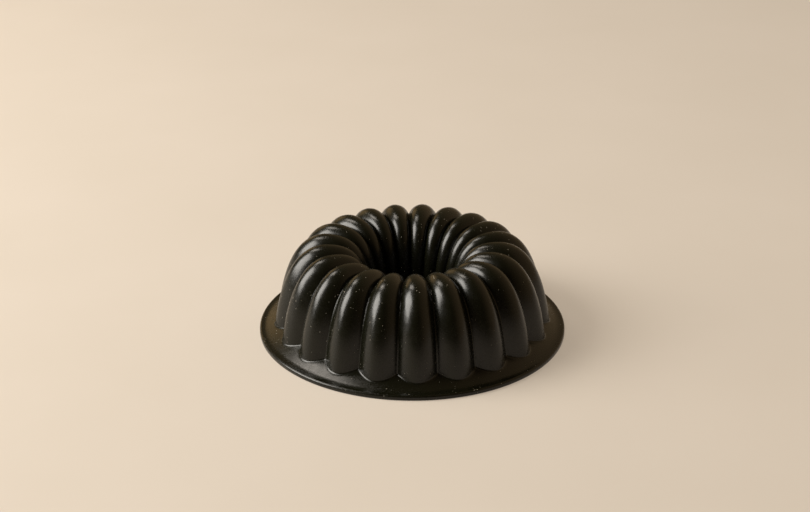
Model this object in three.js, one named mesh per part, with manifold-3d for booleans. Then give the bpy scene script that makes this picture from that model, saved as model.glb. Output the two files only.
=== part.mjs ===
// Fluted ring cake mould of soft silicone, standing on its rim with the crown up.
// Millimetres, +Z up. The origin is the centre of the rim's rest face, and one flute's ridge lies over -Y.
import * as THREE from "three";
import Module from "manifold-3d";
import { mergeVertices } from "three/addons/utils/BufferGeometryUtils.js";

// Ridge curve: the line along the top of a flute, from its foot over the crown and down the tube.
const TUBE_RADIUS = 28; // clear radius at the tube's lip
const TUBE_LIP = 6; // lip above the rest face
const CROWN_REACH = 41.9; // from the lip out to the highest ring of the crown
const WALL_REACH = 43.5; // from that ring out to the ridge's foot in the rest plane
const HEIGHT = 76.4; // crown above the rest face
const WALL_DRAFT = 5.9; // lean of the wall at its foot, degrees
const TUBE_DRAFT = 8; // lean of the tube at its lip, degrees

// How far the curve holds on to each end's direction, as a share of the rise or reach on that side.
const WALL_FULLNESS = 0.61;
const SHOULDER_FULLNESS = 0.59;
const THROAT_FULLNESS = 0.78;
const TUBE_FULLNESS = 0.62;

// Flutes: side by side, each as wide as its place on the ridge curve allows.
// On the wall they are arches in section, and towards the crown they turn into full rounds.
const FLUTES = 21;
const FLUTE_DEPTH = 9.3; // of a valley under the ridges on the wall
const ROUND_START = 0.55; // share of the way from the foot to the crown where the arch begins to turn round
const VALLEY_FLARE = 8; // lean of a round flank at the valley, off the plane between two flutes, degrees
const WALL = 2.2; // thickness of the moulded skin

// Rim: a flange that slopes down from the flutes, turns level in a cove and ends in a thick edge.
const FLANGE_WIDTH = 11.6; // from the ridge's foot in the rest plane to the outer edge
const FLANGE_SLOPE = 25; // degrees
const COVE_RADIUS = 14; // between the slope and the level edge
const RIM_LAND = 0.5; // flat ring between the cove and the rounded edge
const EDGE_RADIUS = 1.5; // rounding of the upper edge
const EDGE_CHAMFER = 0.5; // bevel of the lower edge
const RIM_WIDTH = 6.5; // width of the thick edge on its rest face
const RIM_COVER = 0.7; // silicone above and below the hoop's seat
const RIM_SIDE_COVER = 1.3; // silicone outside the hoop's seat

// Hoop: a ring of spring wire that keeps the soft rim round, seated in the edge when it is moulded.
const WIRE = 2;
const HOOP_CLEARANCE = 0.3;
const PINS = 12; // windows left under the hoop by the pins that held it in the moulding tool
const PIN_RADIUS = 0.7;

// Facets.
const SECTION_STEPS = 6; // per flute
const WALL_STATIONS = 16; // along the ridge curve outside
const LINING_STATIONS = 12; // along the ridge curve inside
const COVE_STEPS = 2;
const EDGE_STEPS = 3;
const HOOP_STEPS = 84;
const WIRE_SIDES = 8;
const HALVINGS = 40; // of the stretch in which a flute's line is cut off
const WELD = 1e-4; // points closer than this are one

const DEGREE = Math.PI / 180;
const CROWN_RADIUS = TUBE_RADIUS + CROWN_REACH;
const FOOT_RADIUS = CROWN_RADIUS + WALL_REACH;
const RIM_RADIUS = FOOT_RADIUS + FLANGE_WIDTH;
const SEAT_RADIUS = WIRE / 2 + HOOP_CLEARANCE;
const RIM_THICKNESS = 2 * (SEAT_RADIUS + RIM_COVER);
const HOOP_RADIUS = RIM_RADIUS - RIM_SIDE_COVER - SEAT_RADIUS;
const HOOP_HEIGHT = RIM_THICKNESS / 2;
const COVE_START = RIM_RADIUS - EDGE_RADIUS - RIM_LAND;
const MOUTH_RADIUS = RIM_RADIUS - RIM_WIDTH;

const HALF_PITCH = Math.PI / FLUTES;
const HALF_ARC = Math.PI / 2 - VALLEY_FLARE * DEGREE;
const DEPTH_RATE = Math.tan(HALF_ARC / 2) * Math.tan(HALF_PITCH);

const wasm = await Module();
wasm.setup();

// The ridge curve in the half plane of radius and height, as two bends that meet level on the crown.
function ridgeBends() {
  const foot = new THREE.Vector2(FOOT_RADIUS, 0);
  const crown = new THREE.Vector2(CROWN_RADIUS, HEIGHT);
  const lip = new THREE.Vector2(TUBE_RADIUS, TUBE_LIP);
  const upWall = new THREE.Vector2(-Math.sin(WALL_DRAFT * DEGREE), Math.cos(WALL_DRAFT * DEGREE));
  const upTube = new THREE.Vector2(Math.sin(TUBE_DRAFT * DEGREE), Math.cos(TUBE_DRAFT * DEGREE));
  const outer = new THREE.CubicBezierCurve(
    foot,
    foot.clone().addScaledVector(upWall, WALL_FULLNESS * HEIGHT),
    new THREE.Vector2(CROWN_RADIUS + SHOULDER_FULLNESS * WALL_REACH, HEIGHT),
    crown,
  );
  const inner = new THREE.CubicBezierCurve(
    crown,
    new THREE.Vector2(CROWN_RADIUS - THROAT_FULLNESS * CROWN_REACH, HEIGHT),
    lip.clone().addScaledVector(upTube, TUBE_FULLNESS * (HEIGHT - TUBE_LIP)),
    lip,
  );
  return [outer, inner];
}

const BENDS = ridgeBends();
const CROWN_STATION = 1;
const LIP_STATION = 2;

// A point of the flute's section at a station of the ridge curve: 0 at the foot, 1 on the crown, 2 at the lip.
// It lies at an angle round the section, 0 on the ridge, and at a depth under the outside face.
// x is the distance from the axis in the flute's own plane, y the distance across that plane, z the height.
function flutePoint(station, angle, depth) {
  const bend = BENDS[station < CROWN_STATION ? 0 : 1];
  const along = station < CROWN_STATION ? station : station - CROWN_STATION;
  const ridge = bend.getPoint(along);
  const tangent = bend.getTangent(along);
  const normal = new THREE.Vector2(tangent.y, -tangent.x);
  const fluteDepth = Math.min(FLUTE_DEPTH, (DEPTH_RATE * ridge.x) / (1 + DEPTH_RATE * normal.x));
  const halfWidth = (ridge.x - normal.x * fluteDepth) * Math.tan(HALF_PITCH);
  const aside = Math.sin(angle) / Math.sin(HALF_ARC);
  const roundness = THREE.MathUtils.smoothstep(station, ROUND_START, CROWN_STATION);
  const roundFall = (1 - Math.cos(angle)) / (1 - Math.cos(HALF_ARC));
  const roundSlope = (Math.tan(angle) * Math.sin(HALF_ARC)) / (1 - Math.cos(HALF_ARC));
  const fall = fluteDepth * THREE.MathUtils.lerp(aside * aside, roundFall, roundness);
  const slope = (fluteDepth / halfWidth) * THREE.MathUtils.lerp(2 * aside, roundSlope, roundness);
  const sunk = depth / Math.hypot(1, slope);
  const inValley = Math.abs(angle) >= HALF_ARC;
  const drop = inValley ? fluteDepth + depth : fall + sunk;
  const out = ridge.x - normal.x * drop;
  const across = inValley
    ? Math.sign(angle) * out * Math.tan(HALF_PITCH)
    : aside * halfWidth - slope * sunk;
  return new THREE.Vector3(out, across, ridge.y - normal.y * drop);
}

// Height of the flange at a radius, at a depth under its outside face, on the slope or in the cove.
function flangeHeight(radius, depth) {
  const slope = FLANGE_SLOPE * DEGREE;
  const bend = COVE_RADIUS + depth;
  const reach = Math.max(0, COVE_START - radius);
  const reachInCove = Math.min(reach, bend * Math.sin(slope));
  const rise = COVE_RADIUS - Math.sqrt(bend * bend - reachInCove * reachInCove);
  return RIM_THICKNESS + rise + (reach - reachInCove) * Math.tan(slope);
}

// The station where a quantity that grows from below zero to above it passes zero.
function crossing(from, to, quantity) {
  let [low, high] = [from, to];
  for (let i = 0; i < HALVINGS; i++) {
    const middle = (low + high) / 2;
    if (quantity(middle) < 0) low = middle;
    else high = middle;
  }
  return (low + high) / 2;
}

// One side of the skin along a line of constant angle, cut off by the flange at the foot and level at the lip.
function fluteLine(angle, depth, stations) {
  const foot = crossing(0, CROWN_STATION, (s) => {
    const p = flutePoint(s, angle, depth);
    return p.z - flangeHeight(Math.hypot(p.x, p.y), depth);
  });
  const lip = crossing(CROWN_STATION, LIP_STATION, (s) => TUBE_LIP - flutePoint(s, angle, depth).z);
  const steps = Array.from({ length: stations + 1 }, (_, i) => i / stations);
  return steps.map((t) => flutePoint(foot + (lip - foot) * t, angle, depth));
}

// A closed section of the skin at one angle of a flute.
// It runs over the rest face, the rounded edge, the cove, the wall and the lip, and back along the lining.
function skinSection(angle) {
  const wall = fluteLine(angle, 0, WALL_STATIONS);
  const lining = fluteLine(angle, WALL, LINING_STATIONS);
  const foot = wall[0];
  const turn = Math.atan2(foot.y, foot.x);
  const at = (radius, height) => new THREE.Vector3(radius * Math.cos(turn), radius * Math.sin(turn), height);
  const rim = [
    at(MOUTH_RADIUS, 0),
    at(RIM_RADIUS - EDGE_CHAMFER, 0),
    at(RIM_RADIUS, EDGE_CHAMFER),
  ];
  for (let i = 0; i <= EDGE_STEPS; i++) {
    const round = (i / EDGE_STEPS) * (Math.PI / 2);
    rim.push(
      at(
        RIM_RADIUS - EDGE_RADIUS * (1 - Math.cos(round)),
        RIM_THICKNESS - EDGE_RADIUS * (1 - Math.sin(round)),
      ),
    );
  }
  for (let i = 0; i <= COVE_STEPS; i++) {
    const lean = (i / COVE_STEPS) * FLANGE_SLOPE * DEGREE;
    const radius = COVE_START - COVE_RADIUS * Math.sin(lean);
    rim.push(at(radius, flangeHeight(radius, 0)));
  }
  const mouth = at(MOUTH_RADIUS, flangeHeight(MOUTH_RADIUS, WALL));
  return [...rim, ...wall, ...lining.reverse(), mouth];
}

// A closed surface over sections that follow each other round the axis and join up.
// The quads' diagonals mirror about every ridge.
function ringGeometry(sections) {
  const rows = sections[0].length;
  const indices = [];
  sections.forEach((_, c) => {
    const rising = c % SECTION_STEPS < SECTION_STEPS / 2;
    for (let row = 0; row < rows; row++) {
      const up = (row + 1) % rows;
      const next = (c + 1) % sections.length;
      const [a, b] = [c * rows + row, next * rows + row];
      const [d, e] = [c * rows + up, next * rows + up];
      if (rising) indices.push(a, b, e, a, e, d);
      else indices.push(a, b, d, b, e, d);
    }
  });
  return new THREE.BufferGeometry().setFromPoints(sections.flat()).setIndex(indices);
}

function toSolid(geometry) {
  const bare = geometry.clone();
  bare.deleteAttribute("normal");
  bare.deleteAttribute("uv");
  const merged = mergeVertices(bare, WELD);
  return new wasm.Manifold(
    new wasm.Mesh({
      numProp: 3,
      vertProperties: new Float32Array(merged.attributes.position.array),
      triVerts: new Uint32Array(merged.index.array),
    }),
  );
}

function toGeometry(solid) {
  const mesh = solid.getMesh();
  return new THREE.BufferGeometry()
    .setAttribute("position", new THREE.BufferAttribute(mesh.vertProperties, 3))
    .setIndex(new THREE.BufferAttribute(mesh.triVerts, 1));
}

function fluteSections() {
  const sections = [];
  for (let flute = 0; flute < FLUTES; flute++) {
    const azimuth = -Math.PI / 2 + 2 * HALF_PITCH * flute;
    for (let i = 0; i < SECTION_STEPS; i++) {
      const angle = HALF_ARC * ((2 * i) / SECTION_STEPS - 1);
      const turned = skinSection(angle).map((p) => p.applyAxisAngle(new THREE.Vector3(0, 0, 1), azimuth));
      sections.push(turned);
    }
  }
  return sections;
}

function hoopGeometry(tubeRadius) {
  const hoop = new THREE.TorusGeometry(HOOP_RADIUS, tubeRadius, WIRE_SIDES, HOOP_STEPS);
  return hoop.translate(0, 0, HOOP_HEIGHT);
}

// The skin of flutes with the hoop's seat and its pin windows cut into the rim, clear of the front ridge.
function siliconeBody() {
  let body = toSolid(ringGeometry(fluteSections())).subtract(toSolid(hoopGeometry(SEAT_RADIUS)));
  for (let pin = 0; pin < PINS; pin++) {
    const window = new THREE.CylinderGeometry(PIN_RADIUS, PIN_RADIUS, RIM_THICKNESS, WIRE_SIDES)
      .rotateX(Math.PI / 2)
      .translate(HOOP_RADIUS, 0, HOOP_HEIGHT - RIM_THICKNESS / 2)
      .rotateZ((2 * Math.PI * (pin + 0.5)) / PINS);
    body = body.subtract(toSolid(window));
  }
  const silicone = new THREE.MeshStandardMaterial({ color: 0x1d1b18, roughness: 0.4, metalness: 0 });
  const mesh = new THREE.Mesh(toGeometry(body), silicone);
  mesh.name = "silicone_body";
  return mesh;
}

function rimHoop() {
  const steel = new THREE.MeshStandardMaterial({ color: 0xb9b8b3, roughness: 0.35, metalness: 1 });
  const mesh = new THREE.Mesh(hoopGeometry(WIRE / 2), steel);
  mesh.name = "rim_hoop";
  return mesh;
}

const mould = new THREE.Group();
mould.add(siliconeBody(), rimHoop());

export default mould;
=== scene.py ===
"""Fluted ring cake mould in black silicone, crown up on its rim, with its steel hoop inside the rim."""
import math

import bmesh
import bpy
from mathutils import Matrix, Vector


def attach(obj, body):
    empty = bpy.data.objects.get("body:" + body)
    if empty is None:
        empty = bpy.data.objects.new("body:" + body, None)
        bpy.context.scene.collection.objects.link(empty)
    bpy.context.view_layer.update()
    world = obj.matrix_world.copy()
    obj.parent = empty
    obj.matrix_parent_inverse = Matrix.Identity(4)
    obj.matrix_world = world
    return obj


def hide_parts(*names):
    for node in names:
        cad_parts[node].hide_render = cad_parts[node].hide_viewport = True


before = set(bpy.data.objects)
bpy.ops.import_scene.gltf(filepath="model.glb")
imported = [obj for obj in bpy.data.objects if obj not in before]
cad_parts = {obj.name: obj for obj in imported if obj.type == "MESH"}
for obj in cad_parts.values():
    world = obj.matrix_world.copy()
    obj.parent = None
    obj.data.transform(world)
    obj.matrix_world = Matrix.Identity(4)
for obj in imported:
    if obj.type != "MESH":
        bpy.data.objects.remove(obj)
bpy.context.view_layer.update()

MM = 0.001

# The mould's sizes in millimetres, the same as those of its solids.
# The ridge of a flute leads from its foot in the rest plane over the crown to the lip of the tube.
TUBE_RADIUS = 28.0
TUBE_LIP = 6.0
CROWN_REACH = 41.9
WALL_REACH = 43.5
CROWN_RADIUS = TUBE_RADIUS + CROWN_REACH
FOOT_RADIUS = CROWN_RADIUS + WALL_REACH
HEIGHT = 76.4
WALL_DRAFT = math.radians(5.9)
TUBE_DRAFT = math.radians(8.0)
# How far the ridge holds on to each end's direction, as a share of the rise or reach on that side
WALL_FULLNESS = 0.61
SHOULDER_FULLNESS = 0.59
THROAT_FULLNESS = 0.78
TUBE_FULLNESS = 0.62

# Flutes meet half a pitch to each side. On the wall they are arches in section, and towards the crown
# they turn into full rounds, as deep as their width makes them.
FLUTES = 21
FLUTE_DEPTH = 9.3
ROUND_START = 0.55  # share of the way from the foot to the crown
VALLEY_FLARE = math.radians(8)
WALL = 2.2
HALF_PITCH = math.pi / FLUTES
HALF_ARC = math.pi / 2 - VALLEY_FLARE
DEPTH_RATE = math.tan(HALF_ARC / 2) * math.tan(HALF_PITCH)

# The flange slopes down from the flutes' feet, turns level in a cove and ends in a thick edge
FLANGE_WIDTH = 11.6
RIM_WIDTH = 6.5
RIM_RADIUS = FOOT_RADIUS + FLANGE_WIDTH
MOUTH_RADIUS = RIM_RADIUS - RIM_WIDTH
COVE_RADIUS = 14.0
COVE_SLOPE = math.radians(25)
RIM_THICKNESS = 4.0
RIM_LAND = 0.5
EDGE_RADIUS = 1.5
EDGE_CHAMFER = 0.5
EDGE_CENTRE = RIM_RADIUS - EDGE_RADIUS
COVE_EDGE = EDGE_CENTRE - RIM_LAND

# The hoop lies in a round seat inside that edge, with the windows of its holding pins below it
SEAT_RADIUS = 1.3
RIM_SIDE_COVER = 1.3
HOOP_RADIUS = RIM_RADIUS - RIM_SIDE_COVER - SEAT_RADIUS
HOOP_HEIGHT = RIM_THICKNESS / 2
PINS = 12
PIN_RADIUS = 0.7
PIN_MIDDLE = 0.2  # height of the middle of a pin, which reaches from below the rest face into the seat
PIN_TURN = 0.11  # radians on itself, so that a pin's corners keep clear of the rim's rows

# Rows and corners of the moulding's mesh, in millimetres and shares
SECTION_SIDES = 26  # across a flute
SPREAD = math.radians(66)  # crowds the corners towards the valleys
WALL_ROWS = 17
FIRST_ROW, ROW_STEP = 0.065, 0.055  # shares of the way from the foot to the crown
TUBE_ROWS = 18
PAST_LIP = 1.03  # the last row, which the cut at the lip takes off
WELD_DISTANCE = 0.02
VALLEY_TOLERANCE = 0.004  # share of a pitch
COVE_ROWS = 7
FOOT_START = 1.5  # height over the flange where the foot's fillet begins
FOOT_FILLET = ((0.1, 0.7), (0.35, 0.25), (0.7, 0.05), (1.1, 0))  # step outwards, height over the flange
RIM_ROWS = ((5.2, 6.4), (3.6, 4.0), (2.0, 1.8))  # distances in from the rim, on its top and its rest face
EDGE_ROWS = ((0, 0.9), (25, 0.6), (50, 0.5), (70, 0.25), (90, 0))  # degrees round the top, distance in below
RIM_PARTING = 3.0  # corners above this height belong to the rim's top


def pick(piece, kind, test):
    """Selects the corners, edges or faces of the piece that pass a test, in edit mode."""
    bpy.ops.mesh.select_mode(type=kind)
    bpy.ops.mesh.select_all(action='DESELECT')
    shape = bmesh.from_edit_mesh(piece.data)
    parts = {'VERT': shape.verts, 'EDGE': shape.edges, 'FACE': shape.faces}[kind]
    for part in parts:
        if test(part):
            part.select_set(True)
    shape.select_flush_mode()
    bmesh.update_edit_mesh(piece.data)


def place(piece, spot):
    """Moves each selected corner to the radius and height that spot gives for its own, in millimetres."""
    shape = bmesh.from_edit_mesh(piece.data)
    for corner in shape.verts:
        if corner.select:
            radius = radius_of(corner.co)
            new_radius, new_height = spot(radius, corner.co.z / MM)
            corner.co.xy = corner.co.xy * (new_radius / radius)
            corner.co.z = new_height * MM
    bmesh.update_edit_mesh(piece.data)


def radius_of(point):
    """Distance of a point from the mould's axis in millimetres."""
    return point.xy.length / MM


def apply_modifier(piece, kind, **settings):
    """Adds one modifier to the piece with its settings and applies it."""
    modifier = piece.modifiers.new(kind.lower(), kind)
    for name, value in settings.items():
        setattr(modifier, name, value)
    bpy.ops.object.select_all(action='DESELECT')
    piece.select_set(True)
    bpy.context.view_layer.objects.active = piece
    bpy.ops.object.modifier_apply(modifier=modifier.name)


def ridge_bends():
    """The two bends of a flute's ridge as radius and height: foot to crown, and crown to lip."""
    crown = Vector((CROWN_RADIUS, HEIGHT))
    foot = Vector((FOOT_RADIUS, 0))
    lip = Vector((TUBE_RADIUS, TUBE_LIP))
    up_wall = Vector((-math.sin(WALL_DRAFT), math.cos(WALL_DRAFT)))
    up_tube = Vector((math.sin(TUBE_DRAFT), math.cos(TUBE_DRAFT)))
    shoulder = crown + Vector((SHOULDER_FULLNESS * WALL_REACH, 0))
    throat = crown - Vector((THROAT_FULLNESS * CROWN_REACH, 0))
    outer = (foot, foot + up_wall * WALL_FULLNESS * HEIGHT, shoulder, crown)
    inner = (crown, throat, lip + up_tube * TUBE_FULLNESS * (HEIGHT - TUBE_LIP), lip)
    return outer, inner


def flute_row(bend, t, crown_round):
    """One section of a flute as a row of corners from valley to valley, at a place on its ridge.
    Crown_round is 0 for an arch and 1 for a full round."""
    a, b, c, d = bend
    s = 1 - t
    ridge = a * s ** 3 + b * (3 * s * s * t) + c * (3 * s * t * t) + d * t ** 3
    slope = ((b - a) * s * s + (c - b) * (2 * s * t) + (d - c) * t * t).normalized()
    out = Vector((slope.y, -slope.x))
    depth = min(FLUTE_DEPTH, DEPTH_RATE * ridge.x / (1 + DEPTH_RATE * out.x))
    half_width = (ridge.x - out.x * depth) * math.tan(HALF_PITCH)
    row = []
    for i in range(SECTION_SIDES + 1):
        aside = math.sin(SPREAD * (2 * i / SECTION_SIDES - 1)) / math.sin(SPREAD)
        arch = aside * aside
        arc = (1 - math.cos(math.asin(aside * math.sin(HALF_ARC)))) / (1 - math.cos(HALF_ARC))
        under = ridge - out * depth * (arch + (arc - arch) * crown_round)
        row.append(Vector((aside * half_width, -under.x, under.y)) * MM)
    return row


def flute_rows():
    """The rows of a flute from above its foot to past the lip."""
    outer, inner = ridge_bends()
    rows = []
    for step in range(WALL_ROWS):
        t = FIRST_ROW + ROW_STEP * step
        share = max(0, (t - ROUND_START) / (1 - ROUND_START))
        rows.append(flute_row(outer, t, share * share * (3 - 2 * share)))
    for step in range(TUBE_ROWS):
        rows.append(flute_row(inner, step / TUBE_ROWS, 1))
    rows.append(flute_row(inner, PAST_LIP, 1))
    return rows


def one_flute():
    """A row of corners across a flute, drawn out row by row along the ridge."""
    bpy.ops.object.select_all(action='DESELECT')
    bpy.ops.mesh.primitive_grid_add(x_subdivisions=SECTION_SIDES, y_subdivisions=1, size=10 * MM)
    flute = bpy.context.object
    bpy.ops.object.mode_set(mode='EDIT')
    pick(flute, 'VERT', lambda v: v.co.y > 0)
    bpy.ops.mesh.delete(type='VERT')
    bpy.ops.mesh.select_all(action='SELECT')
    for number, row in enumerate(flute_rows()):
        if number > 0:
            bpy.ops.mesh.extrude_edges_move()
        shape = bmesh.from_edit_mesh(flute.data)
        across = sorted((corner for corner in shape.verts if corner.select), key=lambda corner: corner.co.x)
        for corner, spot in zip(across, row):
            corner.co = spot
        bmesh.update_edit_mesh(flute.data)
    return flute


def ring_of_flutes(flute):
    """The flute copied round the axis, its copies welded along the valleys, and the valleys rounded."""
    bpy.ops.mesh.select_all(action='SELECT')
    bpy.ops.mesh.spin(steps=FLUTES - 1, dupli=True, angle=2 * math.pi * (FLUTES - 1) / FLUTES,
                      center=(0, 0, 0), axis=(0, 0, 1))
    bpy.ops.mesh.select_all(action='SELECT')
    bpy.ops.mesh.remove_doubles(threshold=WELD_DISTANCE * MM)
    bpy.ops.mesh.normals_make_consistent(inside=False)

    def in_valley(v):
        turn = math.atan2(v.co.x, -v.co.y) / (2 * HALF_PITCH) - 0.5
        return abs(turn - round(turn)) < VALLEY_TOLERANCE

    pick(flute, 'EDGE', lambda e: in_valley(e.verts[0]) and in_valley(e.verts[1]))
    bpy.ops.mesh.bevel(offset_type='PERCENT', offset_pct=85, segments=5, profile=0.4, affect='EDGES')


def trim_lip():
    """The lower end of the tube, cut off level."""
    bpy.ops.mesh.select_mode(type='VERT')
    bpy.ops.mesh.select_all(action='SELECT')
    bpy.ops.mesh.bisect(plane_co=(0, 0, TUBE_LIP * MM), plane_no=(0, 0, 1), clear_inner=True)


def cove_height(radius):
    """Height of the flange, which sweeps up from its flat edge and then slopes straight to the feet."""
    reach = COVE_EDGE - radius
    sweep = COVE_RADIUS * math.sin(COVE_SLOPE)
    if reach < sweep:
        return RIM_THICKNESS + COVE_RADIUS - math.sqrt(COVE_RADIUS ** 2 - reach ** 2)
    return RIM_THICKNESS + COVE_RADIUS * (1 - math.cos(COVE_SLOPE)) + (reach - sweep) * math.tan(COVE_SLOPE)


def draw_down(piece, spot):
    """A new row of corners drawn out of the selected edge and moved to the spot's radius and height."""
    bpy.ops.mesh.extrude_edges_move(TRANSFORM_OT_translate={"value": (0, 0, -0.1 * MM)})
    place(piece, spot)


def flange(piece):
    """The flutes' feet brought down on the cove in a tight fillet, and the cove swept out to the rim."""
    def down_wall(radius, height):
        # Each pass comes closer to the place on the wall where the fillet begins
        for _ in range(4):
            drop = height - cove_height(radius) - FOOT_START
            radius += drop * math.tan(WALL_DRAFT)
            height -= drop
        return radius, height

    def towards_mouth(radius, share):
        radius += (MOUTH_RADIUS - radius) * share
        return radius, cove_height(radius)

    pick(piece, 'EDGE', lambda e: e.is_boundary and radius_of(e.verts[0].co) > CROWN_RADIUS)
    place(piece, down_wall)
    for step_out, above in FOOT_FILLET:
        draw_down(piece, lambda r, z: (r + step_out, cove_height(r + step_out) + above))
    for rows_left in range(COVE_ROWS, 0, -1):
        draw_down(piece, lambda r, z: towards_mouth(r, 1 / rows_left))
    bpy.ops.mesh.select_all(action='SELECT')
    bpy.ops.mesh.normals_make_consistent(inside=False)


def rim(piece):
    """The thick edge of the flange, drawn out from the end of the wall: flat below, rounded above."""
    # The end of the wall is the ring of narrow upright faces at the mouth
    pick(piece, 'FACE',
         lambda f: radius_of(f.calc_center_median()) > MOUTH_RADIUS - 0.6 and abs(f.normal.z) < 0.5)
    rows = []
    for top_inset, rest_inset in RIM_ROWS:
        radius = RIM_RADIUS - top_inset
        rows.append(((radius, cove_height(radius)), (RIM_RADIUS - rest_inset, 0)))
    for turn, rest_inset in EDGE_ROWS:
        angle = math.radians(turn)
        top = (EDGE_CENTRE + EDGE_RADIUS * math.sin(angle),
               RIM_THICKNESS - EDGE_RADIUS * (1 - math.cos(angle)))
        rows.append((top, (RIM_RADIUS - rest_inset, max(0, EDGE_CHAMFER - rest_inset))))
    for top, bottom in rows:
        bpy.ops.mesh.extrude_region_move(TRANSFORM_OT_translate={"value": (0, 0, 0)})
        place(piece, lambda r, z: top if z > RIM_PARTING else bottom)


def hoop_seat(piece):
    """The round seat of the hoop inside the rim, and the windows that its holding pins left below it."""
    bpy.ops.object.select_all(action='DESELECT')
    bpy.ops.mesh.primitive_torus_add(
        location=(0, 0, HOOP_HEIGHT * MM), major_segments=170, minor_segments=12,
        major_radius=HOOP_RADIUS * MM, minor_radius=SEAT_RADIUS * MM)
    cutters = [bpy.context.object]
    for pin in range(PINS):
        angle = 2 * math.pi * (pin + 0.5) / PINS
        bpy.ops.mesh.primitive_cylinder_add(
            vertices=16, radius=PIN_RADIUS * MM, depth=HOOP_HEIGHT * MM, rotation=(0, 0, angle + PIN_TURN),
            location=(HOOP_RADIUS * MM * math.sin(angle), -HOOP_RADIUS * MM * math.cos(angle),
                      PIN_MIDDLE * MM))
        cutters.append(bpy.context.object)
    for cutter in cutters:
        apply_modifier(piece, 'BOOLEAN', operation='DIFFERENCE', solver='EXACT', object=cutter)
    for cutter in cutters:
        bpy.data.objects.remove(cutter)


def silicone_mould():
    """The whole moulding: ring of flutes, flange, thickness of the wall, rim and seat of the hoop."""
    piece = one_flute()
    ring_of_flutes(piece)
    trim_lip()
    flange(piece)
    bpy.ops.object.mode_set(mode='OBJECT')
    apply_modifier(piece, 'SOLIDIFY', thickness=WALL * MM, offset=-1, use_even_offset=False)
    bpy.ops.object.mode_set(mode='EDIT')
    rim(piece)
    bpy.ops.object.mode_set(mode='OBJECT')
    hoop_seat(piece)
    bpy.ops.object.mode_set(mode='EDIT')
    # A cut can leave a sliver open beside a window
    bpy.ops.mesh.select_all(action='SELECT')
    bpy.ops.mesh.fill_holes(sides=4)
    bpy.ops.object.mode_set(mode='OBJECT')
    bpy.ops.object.select_all(action='DESELECT')
    piece.select_set(True)
    bpy.context.view_layer.objects.active = piece
    bpy.ops.object.shade_smooth_by_angle(angle=math.radians(70))
    piece.name = "fluted_silicone"
    return piece


def linear(hex_colour):
    """An sRGB hex colour as linear RGBA."""
    parts = [int(hex_colour[i:i + 2], 16) / 255 for i in (1, 3, 5)]
    return [p / 12.92 if p <= 0.04045 else ((p + 0.055) / 1.055) ** 2.4 for p in parts] + [1]


def node(tree, kind, inputs=None, **settings):
    """Adds a node, with its settings and with the value or link of each named or numbered input."""
    made = tree.nodes.new("ShaderNode" + kind)
    for name, value in settings.items():
        setattr(made, name, value)
    for name, value in (inputs or {}).items():
        if isinstance(value, bpy.types.NodeSocket):
            tree.links.new(value, made.inputs[name])
        else:
            made.inputs[name].default_value = value
    return made


def per_mm(size):
    """Scale of a pattern whose features are this many millimetres apart."""
    return 1 / (size * MM)


def black_silicone():
    """Silicone rubber cast in a polished tool: near black and faintly brown, with a satin skin that
    gives long soft highlights, cloudy where it has been handled, and pale dust that clings to it."""
    material = bpy.data.materials.new("black silicone, satin moulded")
    material.use_nodes = True
    tree = material.node_tree
    shader = tree.nodes["Principled BSDF"]
    shader.inputs["IOR"].default_value = 1.4
    place_on = node(tree, "TexCoord").outputs["Object"]
    clouds = node(tree, "TexNoise", {"Vector": place_on, "Scale": per_mm(14), "Detail": 4, "Roughness": 0.6})
    rubber = node(tree, "Mix", {0: clouds.outputs["Fac"], 6: linear("#080803"), 7: linear("#121208")},
                  data_type='RGBA')
    # Grains of dust, more in some patches than in others. Real dust is finer: the largest grains are
    # drawn nearly 1 mm wide, so that they show.
    grains = node(tree, "TexVoronoi", {"Vector": place_on, "Scale": per_mm(2.4)})
    lot = node(tree, "SeparateColor", {"Color": grains.outputs["Color"]})
    patches = node(tree, "TexNoise", {"Vector": place_on, "Scale": per_mm(22), "Detail": 2})
    clean_share = node(tree, "MapRange", {"Value": patches.outputs["Fac"], "From Min": 0.35, "From Max": 0.65,
                                          "To Min": 0.75, "To Max": 0.25})
    dusty = node(tree, "Math", {0: lot.outputs["Red"], 1: clean_share.outputs["Result"]},
                 operation='SUBTRACT')
    grain_size = node(tree, "Math", {0: dusty.outputs[0], 1: 0.26}, operation='MULTIPLY')
    is_grain = node(tree, "Math", {0: grains.outputs["Distance"], 1: grain_size.outputs[0]},
                    operation='LESS_THAN')
    colour = node(tree, "Mix", {0: is_grain.outputs[0], 6: rubber.outputs[2], 7: linear("#857f73")},
                  data_type='RGBA')
    tree.links.new(colour.outputs[2], shader.inputs["Base Color"])
    smears = node(tree, "TexNoise", {"Vector": place_on, "Scale": per_mm(5), "Detail": 5, "Roughness": 0.65})
    satin = node(tree, "MapRange", {"Value": smears.outputs["Fac"], "From Min": 0.3, "From Max": 0.7,
                                    "To Min": 0.22, "To Max": 0.3})
    finish = node(tree, "Mix", {0: is_grain.outputs[0], 2: satin.outputs["Result"], 3: 0.85},
                  data_type='FLOAT')
    tree.links.new(finish.outputs[0], shader.inputs["Roughness"])
    # The wall's slight waves, and the skin's grain, which is drawn coarser than the real one to show
    waves = node(tree, "TexNoise", {"Vector": place_on, "Scale": per_mm(9), "Detail": 2})
    uneven = node(tree, "Bump", {"Height": waves.outputs["Fac"], "Strength": 0.2, "Distance": 0.12 * MM})
    skin = node(tree, "TexNoise", {"Vector": place_on, "Scale": per_mm(1.2), "Detail": 2})
    grain = node(tree, "Bump", {"Height": skin.outputs["Fac"], "Strength": 0.3, "Distance": 0.02 * MM,
                                "Normal": uneven.outputs["Normal"]})
    tree.links.new(grain.outputs["Normal"], shader.inputs["Normal"])
    return material


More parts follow.
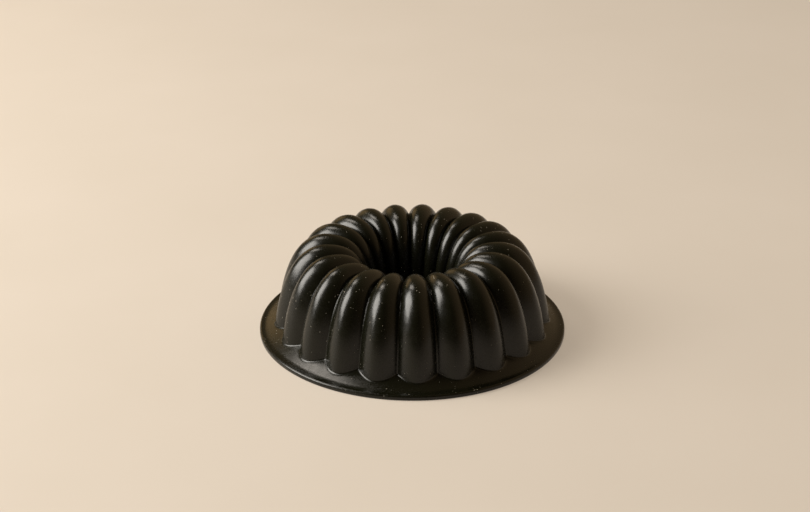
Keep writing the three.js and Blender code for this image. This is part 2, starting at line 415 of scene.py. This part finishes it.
def drawn_spring_steel():
    """Spring wire drawn bright through a die: clean grey metal, faintly mottled where it came out duller."""
    material = bpy.data.materials.new("spring steel, drawn bright")
    material.use_nodes = True
    tree = material.node_tree
    shader = tree.nodes["Principled BSDF"]
    shader.inputs["Metallic"].default_value = 1
    place_on = node(tree, "TexCoord").outputs["Object"]
    mottle = node(tree, "TexNoise", {"Vector": place_on, "Scale": per_mm(0.6), "Detail": 3})
    tint = node(tree, "Mix", {0: mottle.outputs["Fac"], 6: linear("#a9a7a1"), 7: linear("#c3c1bb")},
                data_type='RGBA')
    tree.links.new(tint.outputs[2], shader.inputs["Base Color"])
    duller = node(tree, "MapRange", {"Value": mottle.outputs["Fac"], "To Min": 0.24, "To Max": 0.42})
    tree.links.new(duller.outputs["Result"], shader.inputs["Roughness"])
    return material


def pale_worktop():
    """Pale matt worktop, warm white with a faint cloudiness, that shows a share of its own colour even
    in the shade, so that the mould's shadow stays soft."""
    material = bpy.data.materials.new("pale worktop")
    material.use_nodes = True
    tree = material.node_tree
    shader = tree.nodes["Principled BSDF"]
    shader.inputs["Roughness"].default_value = 0.7
    shader.inputs["Specular IOR Level"].default_value = 0.2
    place_on = node(tree, "TexCoord").outputs["Object"]
    clouds = node(tree, "TexNoise", {"Vector": place_on, "Scale": per_mm(160), "Detail": 3})
    tint = node(tree, "Mix", {0: clouds.outputs["Fac"], 6: linear("#938c82"), 7: linear("#9b948c")},
                data_type='RGBA')
    tree.links.new(tint.outputs[2], shader.inputs["Base Color"])
    shader.inputs["Emission Color"].default_value = linear("#f4e2cc")
    ray = node(tree, "LightPath")
    mirrored = node(tree, "Math", {0: ray.outputs["Is Glossy Ray"], 1: ray.outputs["Is Transmission Ray"]},
                    operation='ADD')
    seen = node(tree, "Math", {0: ray.outputs["Is Camera Ray"], 1: mirrored.outputs[0]}, operation='ADD')
    shade = node(tree, "Math", {0: seen.outputs[0], 1: 0.38}, operation='MULTIPLY')
    tree.links.new(shade.outputs[0], shader.inputs["Emission Strength"])
    return material


mould = silicone_mould()
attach(mould, "root")
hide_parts("silicone_body")
mould.data.materials.clear()
mould.data.materials.append(black_silicone())
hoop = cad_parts["rim_hoop"]
hoop.data.materials.clear()
hoop.data.materials.append(drawn_spring_steel())

bpy.ops.object.select_all(action='DESELECT')
bpy.ops.mesh.primitive_plane_add(size=30, location=(0, 0, 0))
floor = bpy.context.object
floor.name = "worktop"
floor.data.materials.append(pale_worktop())

# The camera stands 1.5 m away, 27.3 degrees up and a little to the left,
# so that the front ridge shows right of the middle
EYE_DISTANCE = 1.5
EYE_RISE = math.radians(27.28)
EYE_TURN = math.radians(2.32)
AIM_RIGHT, AIM_UP = -0.00603, 0.05751  # of the picture's middle, from the centre of the rest face
eye = EYE_DISTANCE * Vector((-math.cos(EYE_RISE) * math.sin(EYE_TURN),
                             -math.cos(EYE_RISE) * math.cos(EYE_TURN), math.sin(EYE_RISE)))
right = Vector((math.cos(EYE_TURN), -math.sin(EYE_TURN), 0))
up = right.cross(-eye.normalized())
lens = bpy.data.cameras.new("photo camera")
lens.sensor_width = 36
lens.lens = 80.887
camera = bpy.data.objects.new("photo camera", lens)
bpy.context.collection.objects.link(camera)
camera.location = eye
aim = AIM_RIGHT * right + AIM_UP * up
camera.rotation_euler = (aim - eye).to_track_quat('-Z', 'Y').to_euler()
bpy.context.scene.camera = camera


def soft_lamp(name, azimuth, elevation, distance, width, height, brightness, tint):
    """A soft panel that faces the mould, azimuth 0 on the camera's side and positive to the right.
    Brightness is that of the panel's face, where 1 is white."""
    turn, rise = math.radians(azimuth), math.radians(elevation)
    data = bpy.data.lights.new(name, 'AREA')
    data.shape = 'RECTANGLE'
    data.size = width
    data.size_y = height
    data.energy = brightness * math.pi * width * height
    data.color = linear(tint)[:3]
    lamp = bpy.data.objects.new(name, data)
    bpy.context.collection.objects.link(lamp)
    lamp.location = distance * Vector((math.cos(rise) * math.sin(turn), -math.cos(rise) * math.cos(turn),
                                       math.sin(rise)))
    lamp.rotation_euler = (-lamp.location).to_track_quat('-Z', 'Y').to_euler()
    lamp.visible_camera = False


soft_lamp("window", -88, 32, 2.6, 1.73, 1.8, 13.5, "#fffaf2")
soft_lamp("high window", -135, 54, 2.0, 0.45, 0.75, 9, "#fff6ea")
soft_lamp("sunlit wall", -150, 18, 2.0, 0.9, 0.8, 0.95, "#f0c88e")

# The room is pale at the mould's right and behind it, and dim overhead and behind the camera
PALE_SIDE = (0.93, 0.35, 0.1)
world = bpy.data.worlds.new("studio")
bpy.context.scene.world = world
world.use_nodes = True
tree = world.node_tree
towards = node(tree, "VectorMath", {0: node(tree, "TexCoord").outputs["Generated"], 1: PALE_SIDE},
               operation='DOT_PRODUCT')
room = node(tree, "MapRange", {"Value": towards.outputs["Value"], "From Min": -0.1, "From Max": 1,
                               "To Min": 0.05, "To Max": 0.5}, interpolation_type='SMOOTHSTEP')
studio = tree.nodes["Background"]
studio.inputs["Color"].default_value = linear("#f0cd9c")
tree.links.new(room.outputs["Result"], studio.inputs["Strength"])

bpy.context.scene.view_settings.view_transform = 'Standard'
